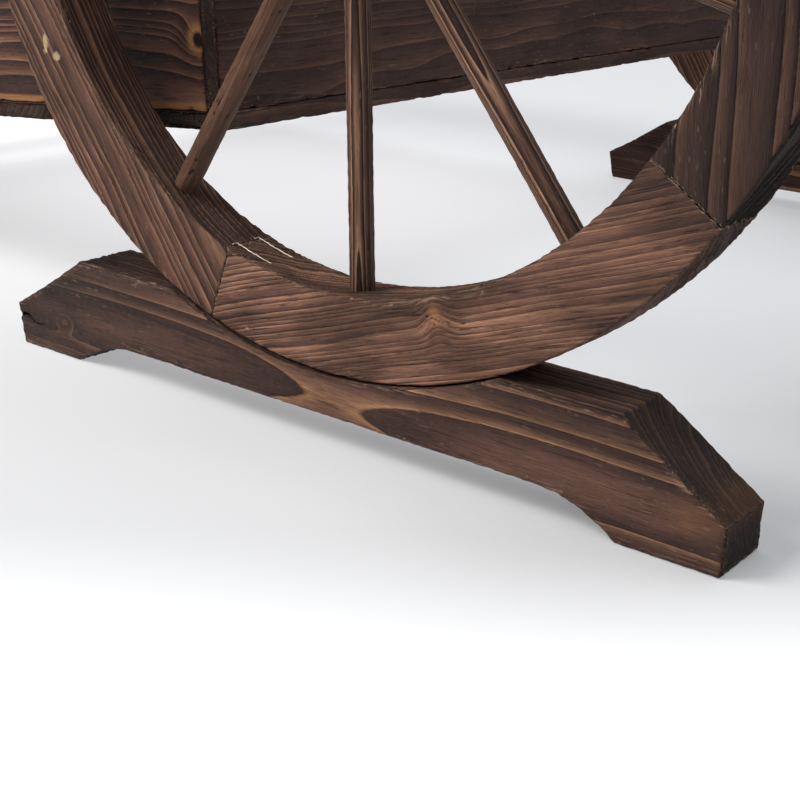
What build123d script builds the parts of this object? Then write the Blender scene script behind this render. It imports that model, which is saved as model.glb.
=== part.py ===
from build123d import *
import os
from math import cos, radians, sin

# Two-wheeled garden barrow in charred, brushed fir. Each wooden wheel rests in its own cradle block.
# Millimetres. Origin on the floor at the middle of the overall length and width.
# +X runs forward to the wheels, +Y to the left-hand wheel, +Z up.
# Pieces are drawn with the axle above the origin, and moved to the middle of the length at the end.

# Wheels
wheel_radius = 240.0
rim_depth = 41.0                 # radial depth of the rim
rim_width = 33.0
track = 684.0                    # distance between the wheels' mid-planes
spokes_per_felloe = 2
spoke_diameter = 12.5
spoke_in_rim = 22.0
spoke_in_hub = 18.0
first_spoke_angle = 3.4          # degrees from straight down, towards the nose
felloe_starts = (-17.9, 56.4, 128.6, 200.2, 271.3)   # hand-cut joints, in the same degrees
glue_line = 0.1                  # slack all round a dowel in its hole
hub_diameter = 76.0
hub_length = 60.0
hub_collar_length = 34.0         # full-diameter band in the middle of the hub
hub_nose_diameter = 60.0
hub_edge = 4.0

# Axle
wheel_lift = 36.0                # the wheel's lowest point above the floor, held up by its cradle
axle_diameter = 14.0
running_clearance = 0.08         # radial, between the axle and the hub bore
fixed_clearance = 0.05           # radial, between the axle and what stays still on it
end_play = 0.4                   # between the hub's ends and its washers
spacer_diameter = 22.0
washer_diameter = 30.0
washer_thickness = 2.5
nut_across_flats = 22.0
nut_height = 11.0
axle_tip = 5.0                   # thread left beyond each nut

# Cradle blocks
cradle_length = 443.0
cradle_setback = 3.0             # the block's middle lies behind the wheel's
cradle_thickness = 38.0
cradle_shoulder_height = 58.5    # flat tops at both ends of the seat
cradle_shoulder_end = 168.5      # where the flat top turns down, from the block's middle
cradle_end_height = 23.0
cradle_heel_lean = 5.0           # the rear end is sawn out of square, longer at the top
cradle_toe_length = 50.0
cradle_arch_height = 15.0
cradle_arch_run = 44.0           # length of the curved rise beside each toe
seat_clearance = 0.4
cradle_edge = 1.5

# Box, given along the tilted bed: a forward from the axle, c up from the axle
bed_tilt = 5.2                   # degrees, tail down
box_front = -126.0
box_length = 560.0
box_under = -134.0
box_height = 190.0
box_half_width = 308.0
wall_thickness = 12.0
bottom_thickness = 10.0
bottom_board_count = 4
bottom_gap = 3.0
wall_gap = 1.5
board_edge = 1.0

# Rails, which carry the axle and end in the handles
rail_thickness = 28.0
rail_height = 44.0
rail_nose = 42.0
rail_edge = 3.0
notch_clearance = 0.3
handle_end = 1040.0              # from the axle to the tip of the grip
grip_length = 130.0
grip_diameter = 27.0

# Corner posts inside the box
post_depth = 30.0
post_web = 12.0                  # wood left inboard of the rail notch
post_below_rim = 8.0

# Legs
leg_width = 44.0
leg_thickness = 28.0
leg_behind_box = 36.0            # from the box's tail to the middle of the leg
leg_above_rail = 10.0
leg_lean = 10.0                  # degrees back from square to the rail
stretcher_drop = 120.0           # from the rail's middle to the stretcher's middle
stretcher_height = 40.0
stretcher_thickness = 20.0

# Fasteners
screw_diameter = 4.0
screw_head_diameter = 8.0
screw_head_height = 2.2          # flat head, sunk just below the face
screw_head_recess = 0.15
screw_cross = (4.6, 0.9, 1.2)    # length, width and depth of the cross in the head
screw_bite = 8.0                 # how far a screw enters the second board
screw_slack = 0.05
bottom_screw_length = 34.0
bolt_diameter = 8.0
bolt_head_diameter = 20.0
bolt_head_height = 4.5
bolt_nut_flats = 13.0
bolt_nut_height = 6.5
bolt_pitch = 22.0
bolt_tip = 3.0

# Sizes worked out from those above
side_signs = {"right": -1, "left": 1}
wheel_middle = track / 2
axle_height = wheel_radius + wheel_lift
box_tail = box_front - box_length
box_top = box_under + box_height
wall_foot = box_under + bottom_thickness
inner_half_width = box_half_width - wall_thickness
rail_middle = inner_half_width - rail_thickness / 2
rail_inner = inner_half_width - rail_thickness
lower_wall_top = -rail_height / 2 - wall_gap
felloe_count = len(felloe_starts)
spoke_count = felloe_count * spokes_per_felloe
spoke_step = 360 / spoke_count
spoke_inner_radius = hub_diameter / 2 - spoke_in_hub
spoke_outer_radius = wheel_radius - rim_depth + spoke_in_rim
hub_bore_radius = axle_diameter / 2 + running_clearance
snug_radius = axle_diameter / 2 + fixed_clearance
washer_inner_face = wheel_middle + hub_length / 2 + end_play
nut_inner_face = washer_inner_face + washer_thickness
axle_half_length = nut_inner_face + nut_height + axle_tip
leg_middle = box_tail - leg_behind_box
leg_inner_face = inner_half_width
leg_outer_face = inner_half_width + leg_thickness
post_width = rail_thickness + post_web
post_top = box_top - post_below_rim
shank_hole = screw_diameter / 2 + screw_slack
bolt_hole = bolt_diameter / 2 + screw_slack
grip_radius = grip_diameter / 2
tail_reach = (handle_end - grip_radius) * cos(radians(bed_tilt)) + grip_radius
axle_forward = (tail_reach - wheel_radius) / 2
bed = Pos(0, 0, axle_height) * Rot(0, -bed_tilt, 0)


def slab(a, y, c):
    # a straight board given by its two ends along the bed, across it and up from it
    middle = Pos(sum(a) / 2, sum(y) / 2, sum(c) / 2)
    return middle * Box(abs(a[1] - a[0]), abs(y[1] - y[0]), abs(c[1] - c[0]))


def rod(radius, start, end):
    # a round bar between two points
    line = Vector(*end) - Vector(*start)
    return Plane(origin=start, z_dir=line) * Cylinder(radius, line.length, align=(Align.CENTER, Align.CENTER, Align.MIN))


def softened(solid, size):
    return chamfer(solid.edges(), size)


def outward(sign, near, far):
    # the same stretch of Y on either side of the middle
    return tuple(sorted((sign * near, sign * far)))


def spoke_angles(felloe):
    first = felloe * spokes_per_felloe
    return [first_spoke_angle + spoke_step * (first + i) for i in range(spokes_per_felloe)]


def along_spoke(radius, angle):
    turn = radians(angle)
    return (radius * sin(turn), 0, -radius * cos(turn))


def felloe_shape(number):
    # one arc of the rim, its ends cut about midway between spokes
    start = felloe_starts[number]
    felloe_step = (felloe_starts[(number + 1) % felloe_count] - start) % 360
    rim_inner = wheel_radius - rim_depth
    outline = make_face(
        [
            CenterArc((0, 0), wheel_radius, start - 90, felloe_step),
            CenterArc((0, 0), rim_inner, start - 90, felloe_step),
            Line(polar(rim_inner, start), polar(wheel_radius, start)),
            Line(polar(rim_inner, start + felloe_step), polar(wheel_radius, start + felloe_step)),
        ]
    )
    arc = extrude(Plane.XZ * outline, rim_width / 2, both=True)
    for angle in spoke_angles(number):
        arc -= rod(spoke_diameter / 2 + glue_line, along_spoke(rim_inner - 5, angle),
                   along_spoke(spoke_outer_radius + glue_line, angle))
    return arc


def polar(radius, angle):
    turn = radians(angle)
    return (radius * sin(turn), -radius * cos(turn))


def spoke_shape(number):
    angle = first_spoke_angle + spoke_step * number
    return rod(spoke_diameter / 2, along_spoke(spoke_inner_radius, angle), along_spoke(spoke_outer_radius, angle))


def hub_shape():
    # a turned hub: full collar in the middle and a smaller nose each side
    collar = Cylinder(hub_diameter / 2, hub_collar_length)
    collar = chamfer(collar.edges(), hub_edge)
    nose = Cylinder(hub_nose_diameter / 2, hub_length)
    nose = fillet(nose.edges(), hub_edge)
    hub = Rot(90, 0, 0) * (collar + nose - Cylinder(hub_bore_radius, hub_length + 2))
    for number in range(spoke_count):
        angle = first_spoke_angle + spoke_step * number
        hub -= rod(spoke_diameter / 2 + glue_line, along_spoke(spoke_inner_radius - glue_line, angle),
                   along_spoke(hub_diameter, angle))
    return hub


def cradle_shape():
    # a block with a round seat for the wheel, chamfered ends and an arched underside between two toes
    half = cradle_length / 2
    lean = cradle_heel_lean / 2
    arch_half = half - cradle_toe_length
    seat_radius = wheel_radius + seat_clearance
    points = [
        (half, 0),
        (half, cradle_end_height),
        (cradle_shoulder_end, cradle_shoulder_height),
        (-cradle_shoulder_end, cradle_shoulder_height),
        (-half - lean, cradle_end_height),
        (-half + lean, 0),
    ]
    block = extrude(Plane.XZ * make_face(Polyline(*points, close=True)), cradle_thickness / 2, both=True)
    block -= Pos(cradle_setback, 0, axle_height) * Rot(90, 0, 0) * Cylinder(seat_radius, 2 * cradle_thickness)
    flat_half = arch_half - cradle_arch_run
    lip = [
        Line((-arch_half, 0), (arch_half, 0)),
        arch_rise(1, arch_half),
        Line((flat_half, cradle_arch_height), (-flat_half, cradle_arch_height)),
        arch_rise(-1, arch_half),
    ]
    block -= extrude(Plane.XZ * make_face(lip), cradle_thickness, both=True)
    long_edges = block.edges().filter_by(Plane.XZ, tolerance=1e-4)
    return Pos(-cradle_setback, 0, 0) * chamfer(long_edges, cradle_edge)


def arch_rise(side, arch_half):
    # steep beside the toe and easing into the flat of the arch
    flat_half = arch_half - cradle_arch_run
    return Spline(
        (side * arch_half, 0),
        (side * flat_half, cradle_arch_height),
        tangents=[(-side * 0.75, 1), (-side, 0)],
        tangent_scalars=[0.5, 1],
    )


def rail_shape(sign):
    # one straight bar: axle end at the nose, round grip at the tail
    grip_start = -handle_end + grip_length
    y = outward(sign, rail_inner, inner_half_width)
    bar = slab((grip_start, rail_nose), y, (-rail_height / 2, rail_height / 2))
    bar = softened(bar, rail_edge)
    middle = sign * rail_middle
    grip_end = -handle_end + grip_radius
    bar += rod(grip_radius, (grip_end, middle, 0), (grip_start + grip_radius, middle, 0))
    bar += Pos(grip_end, middle, 0) * Sphere(grip_radius)
    bar -= rod(snug_radius, (0, middle - rail_thickness, 0), (0, middle + rail_thickness, 0))
    for bolt in bolt_places():
        bar -= rod(bolt_hole, (bolt[0], middle - rail_thickness, bolt[1]), (bolt[0], middle + rail_thickness, bolt[1]))
    return bed * bar


def bolt_places():
    # two bolts on the leg's centre line, either side of the rail's middle
    lean = radians(leg_lean)
    return [(leg_middle + s * bolt_pitch / 2 * sin(lean), s * bolt_pitch / 2 * cos(lean)) for s in (-1, 1)]


def leg_at(sign):
    return Pos(leg_middle, 0, 0) * Rot(0, leg_lean, 0) * Pos(0, sign * (leg_inner_face + leg_thickness / 2), 0)


def leg_shape(sign):
    # leans back from the rail and is cut level with the floor
    reach = 2 * axle_height
    top = rail_height / 2 + leg_above_rail
    post = Pos(0, 0, top - reach / 2) * Box(leg_width, leg_thickness, reach)
    leg = bed * leg_at(sign) * softened(post, board_edge)
    leg -= bed * leg_bolt_holes(sign)
    leg -= bed * stretcher_screw_holes(sign)
    below = Pos(-handle_end, 0, -reach) * Box(4 * handle_end, 4 * box_half_width, 2 * reach)
    return leg - below


def leg_bolt_holes(sign):
    y = outward(sign, leg_inner_face - 1, leg_outer_face + 1)
    return Compound(children=[rod(bolt_hole, (a, y[0], c), (a, y[1], c)) for a, c in bolt_places()])


def stretcher_at():
    return Pos(leg_middle, 0, 0) * Rot(0, leg_lean, 0) * Pos(0, 0, -stretcher_drop)


def stretcher_shape():
    bar = Box(stretcher_thickness, 2 * leg_inner_face, stretcher_height)
    bar = softened(bar, board_edge)
    for sign in side_signs.values():
        for c in (-1, 1):
            z = c * stretcher_height / 4
            near = leg_inner_face - 3 * screw_bite
            bar -= rod(shank_hole, (0, sign * near, z), (0, sign * (leg_inner_face + 1), z))
    return bed * stretcher_at() * bar


def stretcher_screw_places():
    lean = radians(leg_lean)
    places = []
    for c in (-1, 1):
        drop = -stretcher_drop + c * stretcher_height / 4
        places.append((leg_middle + drop * sin(lean), drop * cos(lean)))
    return places


def stretcher_screw_lines(sign):
    length = leg_thickness + 2 * screw_bite
    return [((a, sign * leg_outer_face, c), (0, -sign, 0), length) for a, c in stretcher_screw_places()]


def stretcher_screw_holes(sign):
    return Compound(children=[screw_cutter(line) for line in stretcher_screw_lines(sign)])


def wall_levels():
    return {"lower": (wall_foot, lower_wall_top), "upper": (lower_wall_top + wall_gap, box_top)}


def side_board(sign, level):
    y = outward(sign, inner_half_width, box_half_width)
    a = (box_tail + wall_thickness, box_front - wall_thickness)
    board = softened(slab(a, y, wall_levels()[level]), board_edge)
    return bed * (board - screw_cutters())


def end_board(face, level):
    # a board across the nose or the tail; the upper one is notched over both rails
    step = wall_thickness if face < 0 else -wall_thickness
    edge = box_tail if face < 0 else box_front
    board = slab((edge, edge + step), (-box_half_width, box_half_width), wall_levels()[level])
    board = softened(board, board_edge)
    if level == "upper":
        for sign in side_signs.values():
            y = outward(sign, rail_inner - notch_clearance, inner_half_width + notch_clearance)
            top = rail_height / 2 + notch_clearance
            board -= slab((edge - step, edge + 2 * step), y, (-rail_height, top))
    return bed * (board - screw_cutters())


def bottom_board_spans():
    width = (box_length - bottom_gap * (bottom_board_count - 1)) / bottom_board_count
    fronts = [box_front - i * (width + bottom_gap) for i in range(bottom_board_count)]
    return [(front - width, front) for front in fronts]


def bottom_board(span):
    board = slab(span, (-box_half_width, box_half_width), (box_under, wall_foot))
    return bed * (softened(board, board_edge) - screw_cutters())


def post_span(face):
    if face > 0:
        return (box_front - wall_thickness - post_depth, box_front - wall_thickness)
    return (box_tail + wall_thickness, box_tail + wall_thickness + post_depth)


def corner_post(face, sign):
    # stands inside the corner and is halved over the rail
    y = outward(sign, inner_half_width - post_width, inner_half_width)
    post = slab(post_span(face), y, (wall_foot, post_top))
    post = softened(post, board_edge)
    notch_y = outward(sign, rail_inner - notch_clearance, inner_half_width + 1)
    half_notch = rail_height / 2 + notch_clearance
    post -= slab((box_tail - 1, box_front + 1), notch_y, (-half_notch, half_notch))
    return bed * (post - screw_cutters())


def screw_lines():
    # each screw as its head's seat, its direction, and its length
    lines = []
    lower = sum(wall_levels()["lower"]) / 2
    upper = (rail_height / 2 + post_top) / 2
    for sign in side_signs.values():
        for face in (-1, 1):
            span = post_span(face)
            inner_y = sign * (inner_half_width - post_width)
            inner_a = span[0] if face > 0 else span[1]
            post_y = sign * (inner_half_width - post_width / 2)
            for c in (lower - 15, upper - 5):
                lines.append(((sum(span) / 2, inner_y, c), (0, sign, 0), post_width + screw_bite))
            for c in (lower + 15, upper + 5):
                lines.append(((inner_a, post_y, c), (face, 0, 0), post_depth + screw_bite))
        wall_y = sign * (box_half_width - wall_thickness / 2)
        for low, high in bottom_board_spans():
            for share in (0.25, 0.75):
                a = low + share * (high - low)
                lines.append(((a, wall_y, box_under), (0, 0, 1), bottom_screw_length))
    return lines


def screw_part(line, extra, recess):
    # a tapering flat head and its shank, running in from the face of the wood
    seat, way, length = line
    start = tuple(seat[i] + way[i] * recess for i in range(3))
    end = tuple(seat[i] + way[i] * (length + extra) for i in range(3))
    shank_radius = screw_diameter / 2 + extra
    head_radius = screw_head_diameter / 2 + 3 * extra
    head = Cone(head_radius, shank_radius, screw_head_height + 2 * extra, align=(Align.CENTER, Align.CENTER, Align.MIN))
    return rod(shank_radius, start, end) + Plane(origin=start, z_dir=way) * head


def screw_cutter(line):
    # a hole with a funnel for the head, open at the face
    seat, way, _ = line
    mouth = tuple(seat[i] - way[i] for i in range(3))
    inside = tuple(seat[i] + way[i] * screw_head_recess for i in range(3))
    return screw_part(line, screw_slack, screw_head_recess) + rod(screw_head_diameter / 2 + 3 * screw_slack, mouth, inside)


def screw_cutters():
    return Compound(children=[screw_cutter(line) for line in screw_lines()])


def screw(line):
    seat, way, _ = line
    long, wide, deep = screw_cross
    cross = Box(long, wide, 2 * deep) + Box(wide, long, 2 * deep)
    start = tuple(seat[i] + way[i] * screw_head_recess for i in range(3))
    return screw_part(line, 0, screw_head_recess) - Plane(origin=start, z_dir=way) * cross


def pan_head(diameter, height):
    head = Cylinder(diameter / 2, height, align=(Align.CENTER, Align.CENTER, Align.MIN))
    top = head.edges().sort_by(Axis.Z)[-1]
    return fillet(top, height * 0.6)


def box_screws():
    return Compound(children=[bed * screw(line) for line in screw_lines()])


def hexagon(flats, height):
    return extrude(RegularPolygon(flats / 2, 6, major_radius=False), height)


def leg_bolts():
    # coach bolts through leg and rail, their nuts inboard, and the stretcher's screws
    pieces = []
    for sign in side_signs.values():
        for a, c in bolt_places():
            head_at = (a, sign * leg_outer_face, c)
            nut_at = (a, sign * rail_inner, c)
            tip = (a, sign * (rail_inner - bolt_nut_height - bolt_tip), c)
            bolt = rod(bolt_diameter / 2, tip, head_at)
            bolt += Plane(origin=head_at, z_dir=(0, sign, 0)) * pan_head(bolt_head_diameter, bolt_head_height)
            nut = hexagon(bolt_nut_flats, bolt_nut_height)
            nut -= Cylinder(bolt_hole, 3 * bolt_nut_height)
            nut = Plane(origin=nut_at, x_dir=(1, 0, 0), z_dir=(0, -sign, 0)) * nut
            pieces += [bed * bolt, bed * nut]
        pieces += [bed * screw(line) for line in stretcher_screw_lines(sign)]
    return Compound(children=pieces)


def axle_rod():
    return bed * softened(rod(axle_diameter / 2, (0, -axle_half_length, 0), (0, axle_half_length, 0)), 1)


def ring(outer, start, end):
    # a tube on the axle between two distances from the middle
    body = rod(outer, (0, start, 0), (0, end, 0))
    return body - rod(snug_radius, (0, start - (end - start), 0), (0, 2 * end - start, 0))


def axle_washers():
    # a spacer inboard and a washer outboard of each hub
    hub_inner_face = wheel_middle - hub_length / 2
    rings = []
    for sign in side_signs.values():
        rings.append(ring(spacer_diameter / 2, sign * inner_half_width, sign * (hub_inner_face - end_play)))
        rings.append(ring(washer_diameter / 2, sign * washer_inner_face, sign * nut_inner_face))
    return Compound(children=[bed * r for r in rings])


def axle_nuts():
    nuts = []
    for sign in side_signs.values():
        nut = hexagon(nut_across_flats, nut_height) - Cylinder(snug_radius, 3 * nut_height)
        nut = Plane(origin=(0, sign * nut_inner_face, 0), x_dir=(1, 0, 0), z_dir=(0, sign, 0)) * nut
        nuts.append(bed * nut)
    return Compound(children=nuts)


def build():
    parts = {}
    for side, sign in side_signs.items():
        wheel_at = Pos(0, sign * wheel_middle, axle_height)
        parts[f"hub_{side}"] = wheel_at * hub_shape()
        for number in range(felloe_count):
            parts[f"felloe_{side}_{number + 1}"] = wheel_at * felloe_shape(number)
        for number in range(spoke_count):
            parts[f"spoke_{side}_{number + 1}"] = wheel_at * spoke_shape(number)
        parts[f"cradle_{side}"] = Pos(0, sign * wheel_middle, 0) * cradle_shape()
        parts[f"rail_{side}"] = rail_shape(sign)
        parts[f"leg_{side}"] = leg_shape(sign)
        for level in wall_levels():
            parts[f"side_board_{side}_{level}"] = side_board(sign, level)
        for end, face in {"front": 1, "rear": -1}.items():
            parts[f"corner_post_{end}_{side}"] = corner_post(face, sign)
    for end, face in {"front": 1, "rear": -1}.items():
        for level in wall_levels():
            parts[f"{end}_board_{level}"] = end_board(face, level)
    for number, span in enumerate(bottom_board_spans(), 1):
        parts[f"bottom_board_{number}"] = bottom_board(span)
    parts["leg_stretcher"] = stretcher_shape()
    parts["axle_rod"] = axle_rod()
    parts["axle_washers"] = axle_washers()
    parts["axle_nuts"] = axle_nuts()
    parts["box_screws"] = box_screws()
    parts["leg_bolts"] = leg_bolts()
    return parts


os.makedirs("parts", exist_ok=True)
for name, shape in build().items():
    export_step(Pos(axle_forward, 0, 0) * shape, f"parts/{name}.step")
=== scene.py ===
import math

import bpy
import numpy as np
from mathutils import Matrix, Vector


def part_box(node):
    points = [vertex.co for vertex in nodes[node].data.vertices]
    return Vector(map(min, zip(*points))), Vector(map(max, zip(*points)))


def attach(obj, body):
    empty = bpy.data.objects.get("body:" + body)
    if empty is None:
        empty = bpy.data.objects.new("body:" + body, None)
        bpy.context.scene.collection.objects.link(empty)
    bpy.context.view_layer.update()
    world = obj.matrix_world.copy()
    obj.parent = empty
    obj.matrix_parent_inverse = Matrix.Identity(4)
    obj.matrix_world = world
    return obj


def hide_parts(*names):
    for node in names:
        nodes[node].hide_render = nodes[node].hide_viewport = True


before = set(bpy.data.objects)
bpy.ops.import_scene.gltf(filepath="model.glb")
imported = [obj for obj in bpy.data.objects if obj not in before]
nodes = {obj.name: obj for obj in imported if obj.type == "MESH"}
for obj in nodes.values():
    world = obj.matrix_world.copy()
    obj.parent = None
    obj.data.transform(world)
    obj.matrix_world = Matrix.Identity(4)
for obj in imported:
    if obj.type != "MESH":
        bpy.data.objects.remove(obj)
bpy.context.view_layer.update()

mm = 0.001
bedTilt = math.radians(5.2)  # the box and rails sit tail down
fineness = 1.0  # 1 for the finished barrow, larger for a coarser and quicker one


def centreOf(node):
    # halfway between the corners of the node's box
    low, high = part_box(node)
    return np.array((low + high) / 2)


def sizeOf(node):
    # the high corner of the node's box less the low one
    low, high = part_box(node)
    return np.array(high - low)


hubCentre = {"right": centreOf("hub_right"), "left": centreOf("hub_left")}
axle = (hubCentre["right"] + hubCentre["left"]) / 2
sideSign = {"right": -1.0, "left": 1.0}


class Wire:
    # one output socket; sums and products of wires add the Math nodes they need
    def __init__(self, tree, socket):
        self.tree = tree
        self.socket = socket

    def make(self, kind, settings, inputs, output=0):
        # any node: its settings first, then the values or wires of its sockets
        node = self.tree.nodes.new(kind)
        for key, value in settings.items():
            if key == "stops":
                fillRamp(node.color_ramp, value)
            else:
                setattr(node, key, value)
        for key, value in (inputs.items() if isinstance(inputs, dict) else enumerate(inputs)):
            if isinstance(value, Wire):
                self.tree.links.new(value.socket, node.inputs[key])
            else:
                node.inputs[key].default_value = value
        return Wire(self.tree, node.outputs[output])

    def math(self, operation, *others, clamp=False):
        return self.make("ShaderNodeMath", {"operation": operation, "use_clamp": clamp}, [self, *others])

    def __add__(self, other):
        return self.math("ADD", other)

    def __sub__(self, other):
        return self.math("SUBTRACT", other)

    def __mul__(self, other):
        return self.math("MULTIPLY", other)

    def __rsub__(self, other):
        return self.make("ShaderNodeMath", {"operation": "SUBTRACT"}, [other, self])

    __radd__ = __add__
    __rmul__ = __mul__

    def fract(self):
        return self.math("FRACT")

    def clamped(self):
        return self.math("ADD", 0.0, clamp=True)

    def step(self, low, high):
        # 0 below low, 1 above high and eased between
        settings = {"interpolation_type": "SMOOTHSTEP"}
        return self.make("ShaderNodeMapRange", settings, {"Value": self, "From Min": low, "From Max": high})

    def colours(self, stops):
        return self.make("ShaderNodeValToRGB", {"stops": stops}, [self])

    def towards(self, colour, amount):
        # this colour mixed towards another
        other = colour if isinstance(colour, Wire) else (*colour, 1.0)
        return self.make("ShaderNodeMix", {"data_type": "RGBA"}, {0: amount, 6: self, 7: other}, output=2)

    def lit(self, amount):
        # this colour made lighter or darker by a value
        return self.make("ShaderNodeVectorMath", {"operation": "SCALE"}, {0: self, "Scale": amount})

    def stretched(self, factors):
        return self.make("ShaderNodeVectorMath", {"operation": "MULTIPLY"}, [self, factors])

    def noise(self, detail=2.0, roughness=0.5, scale=1.0):
        inputs = {"Vector": self, "Scale": scale, "Detail": detail, "Roughness": roughness}
        return self.make("ShaderNodeTexNoise", {}, inputs)

    def part(self, index):
        return self.make("ShaderNodeSeparateXYZ", {}, [self], output=index)

    def bump(self, strength, distance):
        # the shading normal of a surface raised by this height
        inputs = {"Strength": strength, "Distance": distance, "Height": self}
        return self.make("ShaderNodeBump", {}, inputs)


def fillRamp(ramp, stops):
    while len(ramp.elements) < len(stops):
        ramp.elements.new(0.5)
    for element, (place, colour) in zip(ramp.elements, stops):
        element.position = place
        element.color = (*colour, 1.0)


def newMaterial(name):
    material = bpy.data.materials.new(name)
    material.use_nodes = True
    tree = material.node_tree
    return material, tree, tree.nodes["Principled BSDF"]


def attribute(tree, name, output="Fac"):
    node = tree.nodes.new("ShaderNodeAttribute")
    node.attribute_name = name
    return Wire(tree, node.outputs[output])


def objectPlace(tree):
    return Wire(tree, tree.nodes.new("ShaderNodeTexCoord").outputs["Object"])


def connect(tree, shader, sockets):
    for name, value in sockets.items():
        if isinstance(value, Wire):
            tree.links.new(value.socket, shader.inputs[name])
        else:
            shader.inputs[name].default_value = value


# the wood: what each material may change
woodLook = {
    "ringColours": [  # across one year: edge line, spring wood, late wood
        (0.00, (0.064, 0.028, 0.019)),
        # painted highlight: this bright stop past each ring's edge is partly paler spring wood and partly
        # light caught on the ring's step
        (0.06, (0.330, 0.170, 0.100)),
        (0.20, (0.215, 0.108, 0.068)),
        (0.50, (0.142, 0.068, 0.045)),
        (0.80, (0.070, 0.033, 0.026)),
        (1.00, (0.034, 0.017, 0.015)),
    ],
    "contrast": 1.0,  # 0 hides the rings, 1 shows them fully
    "plain": (0.118, 0.060, 0.041),  # what shows where the rings are hidden
    "charcoalAndShade": (0.013, 0.009, 0.009),
    "tan": (0.36, 0.225, 0.140),
    "glue": (0.40, 0.29, 0.19),
    "fresh": (0.66, 0.50, 0.27),
    "knot": (0.012, 0.008, 0.007),
    "halo": (0.42, 0.190, 0.065),
    "ringWobble": 0.16,  # in rings
    "ringBump": 0.40,  # millimetres of relief left to the shading
    "fibreBump": 0.28,
    "lift": 1.0,  # everything lighter or darker
    "fibreTone": 0.62,
    "poreTone": 0.45,
    "blotch": 0.45,
    "roughness": 0.56,
    "specular": 0.18,
}

# the patterns laid over the rings, in waves to the metre along the trunk, out from its pith and across
grainWaves = {
    "fibre": (62, 980, 980),
    "thread": (40, 2300, 2300),
    "wobble": (22, 150, 150),
    "pores": (34, 620, 620),
    "patch": (9, 26, 26),
    "bloom": (13, 48, 48),
    "speck": (170, 620, 620),
}


def charredFir(name, change=None):
    # the colour is the ramp at the fraction of the ring number, times fibre, pores and blotches; soot and
    # painted shade, bare edges, knots, glue and cracks in painted shade are mixed over it by the values
    # stored on each piece.
    # The height is late wood plus fibre and thread, less pores and grooves
    look = {**woodLook, **(change or {})}
    material, tree, shader = newMaterial(name)
    rings = attribute(tree, "rings")
    grain = attribute(tree, "grain", "Vector")
    marks = attribute(tree, "marks", "Vector")
    spots = attribute(tree, "spots", "Vector")
    endness, edge, sootAndShade = marks.part(0), marks.part(1), marks.part(2)
    knot, fresh, groove = spots.part(0), spots.part(1), spots.part(2)
    fibre = grain.stretched(grainWaves["fibre"]).noise(5.0, 0.72).step(0.37, 0.64)
    thread = grain.stretched(grainWaves["thread"]).noise(3.0, 0.60).step(0.38, 0.62)
    wobble = grain.stretched(grainWaves["wobble"]).noise(3.0, 0.55)
    pores = grain.stretched(grainWaves["pores"]).noise(4.0, 0.72).step(0.56, 0.64)
    patch = grain.stretched(grainWaves["patch"]).noise(3.0, 0.6)
    bloom = grain.stretched(grainWaves["bloom"]).noise(2.0, 0.55).step(0.36, 0.66)
    speck = grain.stretched(grainWaves["speck"]).noise(1.0, 0.5)
    calm = attribute(tree, "calm")
    year = (rings + (wobble - 0.5) * look["ringWobble"]).fract()
    late = year.step(0.45, 0.85) * (1 - year.step(0.965, 1.0))
    colour = year.colours(look["ringColours"])
    colour = colour.towards(look["plain"], 1 - (1 - calm) * look["contrast"])
    base = 1 - look["fibreTone"] * 0.5
    tone = base + fibre * look["fibreTone"] * 0.62 + thread * look["fibreTone"] * 0.38
    tone = tone * (1 - pores * look["poreTone"]) * (1 + look["blotch"] * (bloom - 0.5)) * look["lift"]
    colour = colour.lit(tone)
    # char and painted shade: the darkening value stored on each piece also carries painted shade on some
    # faces
    charAndShade = patch.step(0.48, 0.76) * 0.50 + endness.step(0.25, 0.95) * 0.66 + sootAndShade
    charAndShade = (charAndShade + (fibre - 0.5) * 0.16).clamped()
    colour = colour.towards(look["charcoalAndShade"], charAndShade * 0.92)
    worn = edge * fibre.step(0.55, 0.95) * patch.step(0.40, 0.60)
    colour = colour.towards(look["tan"], (worn * 0.55).clamped())
    flecks = speck.step(0.67, 0.74) * patch.step(0.40, 0.58) * (0.35 + edge)
    colour = colour.towards(look["tan"], (flecks * 0.75).clamped())
    colour = colour.towards(look["halo"], knot.step(0.06, 0.45) * 0.80)
    colour = colour.towards(look["knot"], knot.step(0.52, 0.72))
    ragged = (fresh + (speck - 0.5) * 1.1 + (fibre - 0.5) * 0.30).step(0.40, 0.62)
    pale = fresh.colours([(0.55, look["glue"]), (0.75, look["fresh"])])
    colour = colour.towards(pale, ragged * fresh.step(0.03, 0.2) * 0.85)
    # painted shade: cracks and pits darkened towards the char colour
    colour = colour.towards(look["charcoalAndShade"], groove.step(0.25, 0.8))
    rough = look["roughness"] + (0.5 - late * 0.5) * 0.16 + (fibre - 0.5) * 0.14 + endness * 0.15
    height = late * (1 - calm) * look["ringBump"] + fibre * look["fibreBump"]
    height = height + thread * look["fibreBump"] * 0.6 - pores * 0.16 + speck * 0.10 - groove * 0.8
    bump = height.bump(1.0, mm)
    connect(tree, shader, {
        "Base Color": colour,
        "Roughness": rough.clamped(),
        "Normal": bump,
        "Specular IOR Level": look["specular"],
    })
    return material


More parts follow.
